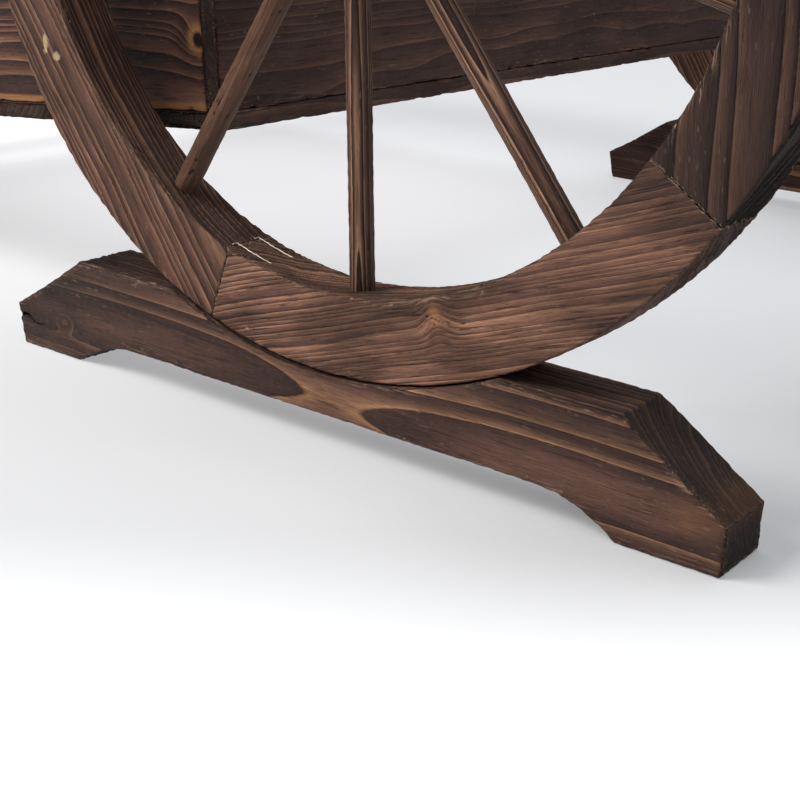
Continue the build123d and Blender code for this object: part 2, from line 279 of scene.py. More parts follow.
rimWood = charredFir("charredRimFir")
plainRimWood = charredFir("charredPlainRimFir", {
    "lift": 1.30,
    "contrast": 0.95,
    "ringWobble": 0.26,
    "ringBump": 0.30,
    "poreTone": 0.60,
    "fibreTone": 0.85,
    "blotch": 0.95,
    "plain": (0.180, 0.086, 0.052),
})
spokeWood = charredFir("charredDowelFir", {
    "ringColours": [
        (0.00, (0.040, 0.018, 0.014)),
        # painted highlight: this bright stop past each ring's edge is partly paler spring wood and partly
        # light caught on the ring's step
        (0.06, (0.420, 0.235, 0.150)),
        (0.30, (0.230, 0.120, 0.075)),
        (0.55, (0.110, 0.050, 0.034)),
        (0.80, (0.040, 0.020, 0.016)),
        (1.00, (0.026, 0.013, 0.012)),
    ],
    "ringWobble": 0.08,
    "ringBump": 0.3,
    "roughness": 0.50,
    "blotch": 0.2,
})
plainSpokeWood = charredFir("charredPlainDowelFir", {
    "contrast": 0.30,
    "ringBump": 0.08,
    "roughness": 0.50,
    "plain": (0.175, 0.085, 0.050),
})
hubWood = charredFir("charredHubFir")
cradleWood = charredFir("charredCradleFir", {
    "ringColours": [
        (0.00, (0.042, 0.019, 0.014)),
        # painted highlight: this bright stop past each ring's edge is partly paler spring wood and partly
        # light caught on the ring's step
        (0.04, (0.400, 0.205, 0.105)),
        (0.12, (0.250, 0.125, 0.075)),
        (0.35, (0.150, 0.074, 0.050)),
        (0.65, (0.080, 0.037, 0.028)),
        (1.00, (0.056, 0.025, 0.020)),
    ],
    "ringWobble": 0.06,
    "roughness": 0.50,
    "blotch": 0.55,
})
frameWood = charredFir("charredFrameFir")
boxWood = charredFir("charredBoxFir", {
    "ringColours": [
        (0.00, (0.040, 0.015, 0.010)),
        # painted highlight: this bright stop past each ring's edge is partly paler spring wood and partly
        # light caught on the ring's step
        (0.06, (0.300, 0.140, 0.080)),
        (0.20, (0.190, 0.084, 0.052)),
        (0.50, (0.110, 0.045, 0.030)),
        (0.80, (0.050, 0.020, 0.015)),
        (1.00, (0.026, 0.011, 0.009)),
    ],
    "ringWobble": 0.10,
    "roughness": 0.50,
    "contrast": 1.10,
    "plain": (0.074, 0.028, 0.019),
})
frontWood = charredFir("charredFrontFir", {
    "ringWobble": 0.10,
    "roughness": 0.52,
    "contrast": 0.34,
    "plain": (0.062, 0.030, 0.024),
    "ringBump": 0.25,
})
print("materials: charred fir")


def unit(vector):
    # each vector over its own length
    vector = np.asarray(vector, float)
    return vector / np.linalg.norm(vector, axis=-1, keepdims=True)


def ease(low, high, x):
    # 0 at low and 1 at high, three t squared less two t cubed between
    t = np.clip((x - low) / (high - low), 0, 1)
    return t * t * (3 - 2 * t)


def lumps(places, size, seed, waves=7):
    # soft noise about 0: a few sine waves in directions, lengths and phases drawn from the seed
    draw = np.random.default_rng(seed)
    total = 0
    for _ in range(waves):
        way = unit(draw.normal(size=3)) * 2 * np.pi / (size * draw.uniform(0.6, 1.5))
        total = total + np.sin(places @ way + draw.uniform(0, 2 * np.pi))
    return total / math.sqrt(waves)


# the tree that each piece was sawn from, where its own cut does not say otherwise
trunk = {
    "waves": (0.62, 0.23, 0.09),  # lengths in metres of the trunk's bends
    "wander": 2.2 * mm,
    "ripple": 0.10,  # in rings
    "rippleSize": 16 * mm,
    "knotReach": 2.6,  # how far the rings bend round a knot, in knot radii
}


def ringsThrough(points, cut):
    # the rings of ringsIn, shifted so that a ring's edge passes through the cut's own tip
    if "tip" not in cut:
        return ringsIn(points, cut)
    number, grain, knot, along = ringsIn(np.concatenate([points, np.asarray(cut["tip"])[None]]), cut)
    shift = number[-1] - round(number[-1])
    return number[:-1] - shift, grain[:-1], knot[:-1], along


def ringsIn(points, cut):
    # place of each point in the tree: along the trunk, out from the pith and round it. The ring number is
    # the distance from the pith over the ring width, bent by the trunk's wander, its swells and its knots
    along = unit(cut["along"])
    bark = np.asarray(cut["bark"], float)
    bark = unit(bark - along * (bark @ along))
    sideways = np.cross(along, bark)
    local = points - cut["centre"]
    run, out, side = local @ along, local @ bark, local @ sideways
    wander = cut.get("wander", trunk["wander"])
    draw = np.random.default_rng(cut["seed"])
    for k, length in enumerate(trunk["waves"]):
        bend = run * 2 * np.pi / length
        out = out + wander / (k + 1) ** 1.2 * np.sin(bend + draw.uniform(0, 6.28))
        side = side + wander / (k + 1) * np.sin(bend + draw.uniform(0, 6.28))
    for place, height, reach in cut.get("swells", []):
        out = out + height * np.exp(-((run - place) / reach) ** 2)
    knot = np.zeros(len(points))
    knots = list(cut.get("knots", []))
    for place, radius, shown in cut.get("knotsAt", []):
        reach = np.asarray(place) - cut["centre"]
        knots.append((reach @ along, reach @ sideways, radius, shown))
    for place, across, radius, shown in knots:
        gap = np.sqrt(((run - place) / 1.5) ** 2 + (side - across) ** 2)
        bulge = trunk["knotReach"] * radius
        out = out + bulge * np.exp(-(gap / bulge) ** 2)
        knot = np.maximum(knot, shown * np.exp(-(gap / (1.35 * radius)) ** 2))
    out = out + cut["pith"]
    number = np.sqrt(out ** 2 + side ** 2) / cut["ring"]
    uneven = 0.42 * np.sin(number * 0.83 + cut["seed"])
    number = number + uneven + 0.25 * np.sin(number * 2.1 + 2.0 * cut["seed"])
    fine = np.stack([run * 0.10, out, side], -1)
    number = number + cut.get("ripple", trunk["ripple"]) * lumps(fine, trunk["rippleSize"], cut["seed"] + 5)
    shift = draw.uniform(-3, 3, 3)
    grain = np.stack([run, out, side], -1) + shift
    return number, grain, knot, along


def ridge(number):
    # 0 in the soft spring wood that brushing takes away, 1 on the hard late wood
    year = number - np.floor(number)
    return ease(0.25, 0.80, year) * (1 - ease(0.92, 1.0, year))


def facings(grid):
    # outward direction at each grid point: the step round the bar crossed with the step along it
    roundStep = np.roll(grid, -1, 1) - np.roll(grid, 1, 1)
    alongStep = np.gradient(grid, axis=0)
    normal = np.cross(roundStep, alongStep)
    length = np.linalg.norm(normal, axis=-1, keepdims=True)
    normal = normal / np.maximum(length, 1e-12)
    outward = grid - grid.mean(1, keepdims=True)
    return normal * (1 if (normal * outward).sum() > 0 else -1)


# how the surface was brushed and has worn
brushed = {
    "stretch": 45 * mm,  # size of the places brushed harder or softer
    "bite": 9 * mm,  # size of the nicks along the corners
    "nibble": 0.8 * mm,  # their depth, where a cut does not say
    "tooth": 5 * mm,  # size and depth of the fine unevenness
    "toothDepth": 0.10 * mm,
    "pit": 0.9 * mm,
    "crackBend": 1.1 * mm,
    "knotDip": 0.8 * mm,
}


def brushing(flat, number, endness, edge, calm, cut):
    # depth is the cut's relief in the spring wood, less on end grain, corners and calm stretches,
    # plus nicks along the corners and a fine unevenness everywhere
    seed = cut["seed"]
    rough = 0.75 + 0.5 * lumps(flat, brushed["stretch"], seed + 11)
    depth = cut["relief"] * np.clip(rough, 0.25, 1.5) * (1 - ridge(number))
    slanting = 0.55 + 0.45 * ease(0.0, 0.5, endness) - 0.7 * ease(0.65, 0.95, endness)
    depth = depth * slanting * (1 - 0.75 * calm)
    depth = depth * (1 - 0.45 * edge)
    nicks = np.clip(lumps(flat, brushed["bite"], seed + 3) - 0.35, 0, 1) * edge
    tooth = brushed["toothDepth"] * (1 + lumps(flat, brushed["tooth"], seed + 9))
    return depth + cut.get("nibble", brushed["nibble"]) * nicks + tooth


def opened(flat, depth, cut):
    # pits fall off as a bell round points drawn from the seed, cracks as a bell about a bent line that
    # narrows towards its far end; cracks also deepen the surface
    groove = np.zeros(len(flat))
    pits = np.random.default_rng(cut["seed"]).integers(0, len(flat), cut.get("pits", 0))
    for place in flat[pits]:
        away = np.linalg.norm(flat - place, axis=-1)
        groove = np.maximum(groove, np.exp(-(away / brushed["pit"]) ** 2))
    for start, end, width, deep in cut.get("cracks", []):
        start, end = np.asarray(start), np.asarray(end)
        reach = end - start
        t = np.clip((flat - start) @ reach / (reach @ reach), 0, 1)
        bend = brushed["crackBend"] * np.sin(t * 9 + cut["seed"])
        gap = flat - start - t[:, None] * reach + np.array([0, 0, 1]) * bend[:, None]
        here = np.exp(-(np.linalg.norm(gap, axis=-1) / (width * (1.05 - t))) ** 2)
        groove = np.maximum(groove, here)
        depth = depth + deep * here
    return groove, depth


def carve(grid, edge, cut):
    # moves each point inward by its depth and gives the values that the material reads
    shape = grid.shape
    flat = grid.reshape(-1, 3)
    edge = edge.reshape(-1)
    normal = facings(grid).reshape(-1, 3)
    number, grain, knot, along = ringsThrough(flat, cut)
    calm = cut["calm"].reshape(-1) if "calm" in cut else np.zeros(len(flat))
    endness = np.abs(normal @ along)
    depth = brushing(flat, number, endness, edge, calm, cut)
    groove, depth = opened(flat, depth, cut)
    depth = depth + brushed["knotDip"] * ease(0.5, 0.9, knot)
    depth = np.where(cut.get("still", np.zeros(shape[:2], bool)).reshape(-1), 0.0, depth)
    fresh = np.zeros(len(flat))
    for place, radius in cut.get("fresh", []):
        gap = (flat - np.asarray(place)) / radius
        fresh = np.maximum(fresh, np.exp(-(gap ** 2).sum(-1)))
    if "glue" in cut:
        fresh = np.maximum(fresh, cut["glue"].reshape(-1))
    sootAndShade = np.full(len(flat), cut.get("sootAndShade", 0.0))
    # soot and painted shade: faces turned towards each listed way are darkened; on the spokes' sides and the
    # cradles' forward slopes this is painted shade
    for way, amount in cut.get("sootAndShadeByFacing", []):
        sootAndShade = sootAndShade + amount * ease(0.35, 0.9, normal @ unit(way))
    # darkening along a piece: soot, a dark joint, and on the far rail painted shade
    if "sootAlong" in cut:
        sootAndShade = sootAndShade + cut["sootAlong"].reshape(-1)
    if "orange" in cut:
        knot = np.maximum(knot, 0.46 * cut["orange"].reshape(-1))
    values = {
        "rings": number,
        "grain": grain,
        "marks": np.stack([endness, edge, sootAndShade], -1),
        "spots": np.stack([knot, fresh, groove], -1),
        "calm": calm,
    }
    return (flat - normal * depth[:, None]).reshape(shape), values


def evenly(keys, spacing):
    # places about one spacing apart that also land on every key place
    places = []
    for a, b in zip(keys[:-1], keys[1:]):
        places.append(np.linspace(a, b, max(2, round(abs(b - a) / spacing) + 1))[:-1])
    return np.concatenate([*places, [keys[-1]]])


def outline(acrossCount, upCount, cornerCount):
    # a rounded rectangle: on a side the corner's centre slides from -1 to 1, in a corner the facing turns
    slide = {0: upCount, 1: acrossCount, 2: upCount, 3: acrossCount}
    centres, facing, reach = [], [], []
    for side in range(4):
        turn = side * np.pi / 2
        way, left = np.array([np.cos(turn), np.sin(turn)]), np.array([-np.sin(turn), np.cos(turn)])
        t = np.linspace(-1, 1, slide[side])[:, None]
        centres.append(np.rint(way) + t * np.rint(left))
        facing.append(np.repeat(way[None], slide[side], 0))
        reach.append(np.stack([np.abs(t[:, 0]), np.full(slide[side], side % 2)], -1))
        angle = (turn + np.linspace(0, np.pi / 2, cornerCount + 2)[1:-1])[:, None]
        centres.append(np.repeat((np.rint(way) + np.rint(left))[None], cornerCount, 0))
        facing.append(np.concatenate([np.cos(angle), np.sin(angle)], 1))
        reach.append(np.tile([1.0, 0.0], (cornerCount, 1)))
    return np.concatenate(centres), np.concatenate(facing), np.concatenate(reach)


edgeReach = 2.2 * mm  # how far from a corner the wear reaches


def nearEdge(gap):
    # 1 on the corner, falling off as a bell over the reach of the wear
    return np.exp(-(gap / edgeReach) ** 2)


def barGrid(path, across, up, span, rise, corner, spacing, soft=1.2 * mm, cornerCount=3):
    # a rounded rectangle carried along the path. Span and rise are its low and high across and up about the
    # path, corner is its rounding and soft the rounding of both ends, a quarter circle run in four steps.
    # A point is the corner's centre, scaled to the half sizes less the rounding, plus the facing times the
    # rounding; an end face is the last section drawn in to a point
    path = np.asarray(path, float)
    count = len(path)
    across = np.broadcast_to(across, (count, 3))
    up = np.broadcast_to(up, (count, 3))
    span = np.broadcast_to(span, (count, 2))
    rise = np.broadcast_to(rise, (count, 2))
    corner = np.broadcast_to(corner, (count,))
    wide, tall = (span[:, 1] - span[:, 0]).max(), (rise[:, 1] - rise[:, 0]).max()
    acrossCount, upCount = (max(4, round(length / spacing)) for length in (wide, tall))
    centres, facing, reach = outline(acrossCount, upCount, cornerCount)
    turnIn = np.linspace(np.pi / 2, 0, 4)[:-1]
    rings = max(3, round(min(wide, tall) / 2 / spacing))
    shrink = np.linspace(0, 1, rings + 1)[1:]
    shift = np.concatenate([np.full(rings, soft), soft * np.sin(turnIn)])
    inset = np.concatenate([np.full(rings, soft), soft * (1 - np.cos(turnIn))])
    size = np.concatenate([shrink, np.ones(3)])
    station = np.concatenate([np.zeros(rings + 3, int), np.arange(count), np.full(rings + 3, count - 1)])
    zero = np.zeros(count)
    startWay, endWay = unit(path[0] - path[1]), unit(path[-1] - path[-2])
    push = np.concatenate([shift[:, None] * startWay, np.zeros((count, 3)), shift[::-1, None] * endWay])
    inset = np.concatenate([inset, zero, inset[::-1]])
    size = np.concatenate([size, zero + 1, size[::-1]])
    halves = [(s[station, 1] - s[station, 0]) / 2 - inset for s in (span, rise)]
    middles = [(s[station, 1] + s[station, 0]) / 2 for s in (span, rise)]
    rounding = np.maximum(corner[station] - inset, 0.05 * mm)
    rounding = np.minimum(rounding, np.minimum(*halves) * 0.999)
    plane = []
    for k in (0, 1):
        reachOut = centres[None, :, k] * (halves[k] - rounding)[:, None]
        reachOut = reachOut + facing[None, :, k] * rounding[:, None]
        plane.append(middles[k][:, None] + reachOut * size[:, None])
    grid = path[station][:, None] + push[:, None]
    grid = grid + plane[0][..., None] * across[station][:, None] + plane[1][..., None] * up[station][:, None]
    half = np.where(reach[None, :, 1] == 1, halves[0][:, None], halves[1][:, None])
    edge = nearEdge((1 - reach[None, :, 0]) * half)
    row = np.arange(len(station))
    onCap = (row < rings + 2) | (row >= len(station) - rings - 2)
    capEdge = nearEdge(np.abs(1 - size[:, None]) * min(wide, tall) / 2)
    return grid, np.where(onCap[:, None], capEdge, edge)


def quadsBetween(rows, count, closed):
    # corner numbers of the quads between neighbouring rings; closed also joins the last ring to the first
    r, c = np.meshgrid(np.arange(rows if closed else rows - 1), np.arange(count), indexing="ij")
    nextRow, nextColumn = (r + 1) % rows, (c + 1) % count
    corners = [r * count + c, r * count + nextColumn, nextRow * count + nextColumn, nextRow * count + c]
    return np.stack(corners, -1).reshape(-1, 4)


def pointsInward(points, quads):
    # twice the volume under the quads, summed over a triangle of each, is negative when they face inward
    a, b, d = points[quads[:, 0]], points[quads[:, 1]], points[quads[:, 3]]
    return (a * np.cross(b, d)).sum() < 0


def skin(name, grid, values, material):
    # closes a grid of rings into a mesh: quads between rings, a fan of triangles at each end
    rows, count = grid.shape[:2]
    quads = quadsBetween(rows, count, False)
    points = np.concatenate([grid.reshape(-1, 3), np.stack([grid[0].mean(0), grid[-1].mean(0)])])
    ring = np.arange(count)
    first = np.stack([np.full(count, rows * count), (ring + 1) % count, ring], -1)
    last = (rows - 1) * count
    second = np.stack([np.full(count, rows * count + 1), last + ring, last + (ring + 1) % count], -1)
    fans = np.concatenate([first, second])
    if pointsInward(points, quads):
        quads, fans = quads[:, ::-1], fans[:, ::-1]
    corners = np.concatenate([quads.reshape(-1), fans.reshape(-1)])
    starts = np.concatenate([np.arange(len(quads)) * 4, len(quads) * 4 + np.arange(len(fans)) * 3])
    piece = fillMesh(name, points, corners, starts, material)
    for key, value in values.items():
        tail = [value.reshape(rows, count, -1)[k].mean(0) for k in (0, -1)]
        storeValues(piece, {key: np.concatenate([value.reshape(rows * count, -1), tail])})
    return piece


def ringSkin(name, grid, values, material):
    # closes a grid both ways round, as a ring has no ends
    points = grid.reshape(-1, 3)
    quads = quadsBetween(*grid.shape[:2], True)
    if pointsInward(points - points.mean(0), quads):
        quads = quads[:, ::-1]
    piece = fillMesh(name, points, quads.reshape(-1), np.arange(len(quads)) * 4, material)
    storeValues(piece, values)
    return piece


def storeValues(piece, values):
    # three numbers to a point are kept as a vector, one as a float
    for key, value in values.items():
        value = np.asarray(value).reshape(len(piece.data.vertices), -1)
        kind, field = ("FLOAT_VECTOR", "vector") if value.shape[1] == 3 else ("FLOAT", "value")
        layer = piece.data.attributes.new(key, kind, "POINT")
        layer.data.foreach_set(field, value.astype(np.float32).reshape(-1))


def fillMesh(name, points, corners, starts, material):
    # a smooth mesh from its points, the point of every face corner and where each face's corners start
    mesh = bpy.data.meshes.new(name)
    mesh.vertices.add(len(points))
    mesh.vertices.foreach_set("co", points.astype(np.float32).reshape(-1))
    mesh.loops.add(len(corners))
    mesh.loops.foreach_set("vertex_index", corners.astype(np.int32))
    mesh.polygons.add(len(starts))
    mesh.polygons.foreach_set("loop_start", starts.astype(np.int32))
    mesh.polygons.foreach_set("use_smooth", np.ones(len(starts), bool))
    mesh.update(calc_edges=True)
    mesh.validate()
    mesh.materials.append(material)
    piece = bpy.data.objects.new(name, mesh)
    bpy.context.scene.collection.objects.link(piece)
    return piece


def standsIn(piece, node, body):
    # the piece moves with its body and is shown instead of the node of its own name
    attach(piece, body)
    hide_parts(node)


def woodPiece(node, body, grid, edge, cut, material):
    # the grid sunk by its carved depth along its facing, then skinned
    carved, values = carve(grid, edge, cut)
    standsIn(skin(node, carved, values, material), node, body)


wheel = {
    "felloes": 5,
    "spokesPerFelloe": 2,
    "joints": (-17.9, 56.4, 128.6, 200.2, 271.3),  # where each felloe starts, in degrees from straight down
    "radius": 240 * mm,
    "depth": 41 * mm,
    "width": sizeOf("felloe_right_1")[1],
    "corner": 1.6 * mm,
    "soft": 0.5 * mm,
    "nibble": 0.35 * mm,
    "glue": (0.9 * mm, 0.54),  # half width of the line squeezed out of each joint, and how pale
    "spacing": {"right": 1.05 * mm, "left": 1.6 * mm},
}

# how each felloe was sawn: the bark's lean out of the wheel's plane and the grain's skew off the chord, in
# degrees, ring width, distance to the pith, depth of brushing, darkening and seed
felloeCuts = {
    1: {"lean": 25, "skew": 1.0, "ring": 2.6 * mm, "pith": 160 * mm, "relief": 0.62 * mm, "sootAndShade": -0.10,
        "seed": 21, "wander": 0.9 * mm, "ripple": 0.14},
    2: {"lean": 45, "skew": -2.0, "ring": 5.2 * mm, "pith": 170 * mm, "relief": 1.3 * mm, "sootAndShade": 0.72,
        "seed": 33, "wander": 1.2 * mm, "ripple": 0.08},
    3: {"lean": -40, "skew": 2.0, "ring": 3.6 * mm, "pith": 90 * mm, "relief": 1.0 * mm, "sootAndShade": 0.12,
        "seed": 47, "wander": 1.6 * mm, "ripple": 0.10},
    4: {"lean": 20, "skew": -1.0, "ring": 3.0 * mm, "pith": 110 * mm, "relief": 0.9 * mm, "sootAndShade": 0.05,
        "seed": 52, "wander": 1.6 * mm, "ripple": 0.10},
    5: {"lean": 50, "skew": 2.5, "ring": 2.9 * mm, "pith": 150 * mm, "relief": 0.8 * mm, "sootAndShade": -0.05,
        "seed": 64, "wander": 0.9 * mm, "ripple": 0.08},
}

# marks on the front of the near wheel's felloes
felloeSpots = {
    "knot": (66.2 * mm, -195.9 * mm),  # forward of the hub and up from it
    "knotRadius": 2.0 * mm,
    "knotShown": 0.34,
    "knotCracks": [  # from forward and up of the knot to forward and up of it, then depth
        (-16 * mm, -4 * mm, 22 * mm, -1 * mm, 0.5 * mm),
        (0.6 * mm, -4 * mm, -0.6 * mm, 9 * mm, 0.4 * mm),
    ],
    "crackWidth": 0.5 * mm,
    "chips": {  # radius and angle of each, and its size
        1: [(234 * mm, -12, (1.5, 3, 0.8))],
        5: [(221 * mm, -62.0, (2.1, 3, 7.5)), (216 * mm, -59.5, (3.8, 3, 2.8))],
    },
}


def aroundWheel(angle):
    # direction from the hub: the angle's sine forward and its cosine down, 0 degrees being straight down
    turn = np.radians(angle)
    return np.stack([np.sin(turn), np.zeros_like(turn), -np.cos(turn)], -1)


def onWheel(side, radius, angle, y):
    # the hub's centre, plus the radius in the angle's direction, plus y along the axle
    return hubCentre[side] + radius * aroundWheel(np.asarray(float(angle))) + np.array([0, y, 0])


def felloe(side, number):
    # the rim's section carried along an arc; its grain runs straight along the chord
    start = wheel["joints"][number - 1]
    step = (wheel["joints"][number % wheel["felloes"]] - start) % 360
    middleRadius = wheel["radius"] - wheel["depth"] / 2
    trim = math.degrees(wheel["soft"] / middleRadius)
    spacing = wheel["spacing"][side] * fineness
    count = round(math.radians(step) * wheel["radius"] / spacing)
    out = aroundWheel(np.linspace(start + trim, start + step - trim, count))
    path = hubCentre[side] + middleRadius * out
    deep, wide = wheel["depth"] / 2, wheel["width"] / 2
    grid, edge = barGrid(path, out, (0, 1, 0), (-deep, deep), (-wide, wide), wheel["corner"], spacing,
                         wheel["soft"])
    plan = felloeCuts[number]
    middle = start + step / 2
    radial = aroundWheel(np.asarray(middle))
    chord = aroundWheel(np.asarray(middle + 90.0))
    skew, lean = math.radians(plan["skew"]), math.radians(plan["lean"])
    cut = {
        **plan,
        "seed": plan["seed"] + (0 if side == "right" else 300),
        "centre": hubCentre[side] + middleRadius * radial,
        "along": chord * math.cos(skew) + radial * math.sin(skew) + np.array([0, 0.01, 0]),
        "bark": radial * math.cos(lean) + np.array([0, sideSign[side], 0]) * math.sin(lean),
        "sootAndShadeByFacing": [(-radial, 0.30), (radial, 0.25)],
        "nibble": wheel["nibble"],
        **felloeMarks(side, number),
    }
    local = grid - hubCentre[side]
    reach = np.linalg.norm(local[..., [0, 2]], axis=-1)
    angle = np.degrees(np.arctan2(local[..., 0], -local[..., 2]))
    fromStart = np.abs(np.radians((angle - start + 180) % 360 - 180) * reach)
    fromEnd = np.abs(np.radians((start + step - angle + 180) % 360 - 180) * reach)
    glueHalf, gluePale = wheel["glue"]
    cut["glue"] = np.exp(-(np.minimum(fromStart, fromEnd) / glueHalf) ** 2) * gluePale
    if number == 1:
        cut["calm"] = ease(18 * mm, 90 * mm, fromStart) * 0.30
        cut["sootAlong"] = 0.40 * ease(170 * mm, 60 * mm, fromEnd)
    elif side == "right" and number == 2:
        cut["sootAlong"] = 0.10 * ease(40 * mm, 0, fromStart)
    wood = plainRimWood if number == 1 else rimWood
    woodPiece(f"felloe_{side}_{number}", f"{side}_wheel", grid, edge, cut, wood)


def felloeMarks(side, number):
    # the knot, its cracks and the chips on one felloe of the near wheel
    if side == "left":
        return {}
    front = -wheel["width"] / 2
    chips = felloeSpots["chips"].get(number, [])
    marks = {"fresh": [(onWheel(side, r, angle, front), np.array(size) * mm) for r, angle, size in chips]}
    if number == 1:
        forward, up = felloeSpots["knot"]
        knot = hubCentre[side] + np.array([forward, front, up])
        marks["knotsAt"] = [(knot, felloeSpots["knotRadius"], felloeSpots["knotShown"])]
        marks["cracks"] = [
            (knot + np.array([a, 0, b]), knot + np.array([c, 0, d]), felloeSpots["crackWidth"], deep)
            for a, b, c, d, deep in felloeSpots["knotCracks"]
        ]
    return marks


for side in sideSign:
    for number in range(1, wheel["felloes"] + 1):
        felloe(side, number)
print("wheels: felloes")


dowel = {
    "first": 3.4,  # degrees from straight down, towards the nose
    "diameter": 12.5 * mm,
    "inner": 20 * mm,  # its two ends, measured from the hub's middle
    "outer": 221 * mm,
    "soft": 0.6 * mm,
    "spacing": 2.2 * mm,  # along it, and round it
    "roundSpacing": 3.2 * mm,
    "plain": (10, 5, 7),  # dowels with faint rings and wormholes
    "wormholes": 36,
}


def spoke(side, number):
    # a round section carried along a radius; the grain is split straight, so the rings show as stripes
    angle = dowel["first"] + 360 / (wheel["felloes"] * wheel["spokesPerFelloe"]) * (number - 1)
    out = aroundWheel(np.asarray(angle))
    tangent = aroundWheel(np.asarray(angle + 90.0))
    soft = dowel["soft"]
    run = evenly([dowel["inner"] + soft, dowel["outer"] - soft], dowel["spacing"] * fineness)
    path = hubCentre[side] + run[:, None] * out
    radius = dowel["diameter"] / 2
    seed = 100 + number * 7 + (0 if side == "right" else 500)
    grid, edge = barGrid(path, tangent, (0, 1, 0), (-radius, radius), (-radius, radius), radius * 0.995,
                         dowel["roundSpacing"] * fineness, soft, cornerCount=10)
    draw = np.random.default_rng(seed)
    lean = draw.uniform(0, np.pi)
    cut = {
        "centre": hubCentre[side],
        "along": out + 0.012 * tangent * draw.normal(),
        "bark": tangent * math.cos(lean) + np.array([0, math.sin(lean), 0]),
        "pith": 60 * mm,
        "ring": 1.25 * mm * draw.uniform(0.85, 1.3),
        "relief": 0.26 * mm,
        "wander": 0.35 * mm,
        "ripple": 0.04,
        "sootAndShade": -0.12 + draw.uniform(-0.1, 0.05),
        "seed": seed,
        "nibble": 0.0,
        # painted shade: the side of each spoke facing along the tangent is darkened
        "sootAndShadeByFacing": [(tangent, 0.40)],
    }
    plain = number in dowel["plain"]
    if plain:
        cut["pits"] = dowel["wormholes"]
    wood = plainSpokeWood if plain else spokeWood
    woodPiece(f"spoke_{side}_{number}", f"{side}_wheel", grid, edge * 0, cut, wood)


for side in sideSign:
    for number in range(1, wheel["felloes"] * wheel["spokesPerFelloe"] + 1):
        spoke(side, number)
print("wheels: spokes")


hub = {
    "collar": (38 * mm, 34 * mm),  # radius and length of the full band
    "nose": (30 * mm, 60 * mm),  # radius and length of the narrower ends
    "bore": 7.08 * mm,
    "boreEdge": 0.8 * mm,
    "edge": 3.6 * mm,
    "spacing": 1.5 * mm,
    "relief": 0.35 * mm,
    "tooth": 0.12 * mm,
    "sootAndShade": 0.05,
}


def hubProfile():
    # radius against length, down through the bore and back over nose and collar, mirrored about the middle
    collarRadius, collarLength = hub["collar"]
    noseRadius, noseLength = hub["nose"]
    edge, bore, boreEdge = hub["edge"], hub["bore"], hub["boreEdge"]
    bend = np.linspace(0, np.pi / 2, 6)
    half, band = noseLength / 2, collarLength / 2
    corner = np.stack([noseRadius - edge * (1 - np.sin(bend)), half - edge * (1 - np.cos(bend))], -1)
    front = [(bore, 0.0), (bore, half - boreEdge), (bore + boreEdge, half), *[tuple(q) for q in corner],
             (noseRadius, band), (collarRadius - edge, band), (collarRadius, band - edge)]
    profile = np.array(front + [(radius, -z) for radius, z in front[:0:-1]])
    loop = np.concatenate([profile, profile[:1]])
    gaps = np.linalg.norm(np.diff(loop, axis=0), axis=1)
    stretches = []
    for a, b, gap in zip(loop[:-1], loop[1:], gaps):
        stretches.append(np.linspace(a, b, max(2, round(gap / hub["spacing"]) + 1))[:-1])
    return np.concatenate(stretches)


def turnedHub(side):
    # the profile turned once round the axle: its radius along the turning direction, its length along Y
    loop = hubProfile()
    count = round(2 * np.pi * hub["collar"][0] / hub["spacing"] / fineness)
    turn = np.linspace(0, 2 * np.pi, count, endpoint=False)
    out = np.stack([np.cos(turn), np.zeros_like(turn), np.sin(turn)], -1)
    grid = hubCentre[side] + loop[None, :, :1] * out[:, None] + loop[None, :, 1:] * np.array([0.0, 1.0, 0.0])
    profileStep = np.roll(grid, -1, 1) - np.roll(grid, 1, 1)
    turnStep = np.roll(grid, -1, 0) - np.roll(grid, 1, 0)
    outward = unit(np.cross(profileStep, turnStep)).reshape(-1, 3)
    flat = grid.reshape(-1, 3)
    cut = {
        "centre": hubCentre[side],
        "along": (0, 1, 0),
        "bark": (0.6, 0, 0.8),
        "pith": 26 * mm,
        "ring": 3.1 * mm,
        "wander": 0.4 * mm,
        "ripple": 0.08,
        "seed": 801 if side == "right" else 802,
    }
    number, grain, knot, along = ringsIn(flat, cut)
    inBore = np.linalg.norm((flat - hubCentre[side])[:, [0, 2]], axis=1) < hub["bore"] + 0.5 * mm
    radial = unit((flat - hubCentre[side]) * np.array([1, 0, 1]))
    outward = outward * (1 if (outward[~inBore] * radial[~inBore]).sum() > 0 else -1)
    tooth = hub["tooth"] * (1 + lumps(flat, brushed["tooth"], 9))
    depth = np.where(inBore, 0.0, hub["relief"] * (1 - ridge(number)) + tooth)
    grid = (flat - outward * depth[:, None]).reshape(grid.shape)
    none = np.zeros(len(flat))
    values = {
        "rings": number,
        "grain": grain,
        "calm": none,
        "marks": np.stack([np.abs(outward @ along), none, none + hub["sootAndShade"]], -1),
        "spots": np.zeros((len(flat), 3)),
    }
    node = f"hub_{side}"
    standsIn(ringSkin(node, grid, values, hubWood), node, f"{side}_wheel")


for side in sideSign:
    turnedHub(side)
print("wheels: hubs")


# bright staples across the near rim's rear joint
staple = {
    "wire": 0.30 * mm,  # half its thickness
    "reach": (-18.4, -11.6),  # its two ends, in degrees from straight down
    "places": (-8.5 * mm, 7.5 * mm),  # of the two staples across the rim
    "foot": 3.2 * mm,
    "bent": 0.12 * mm,
}


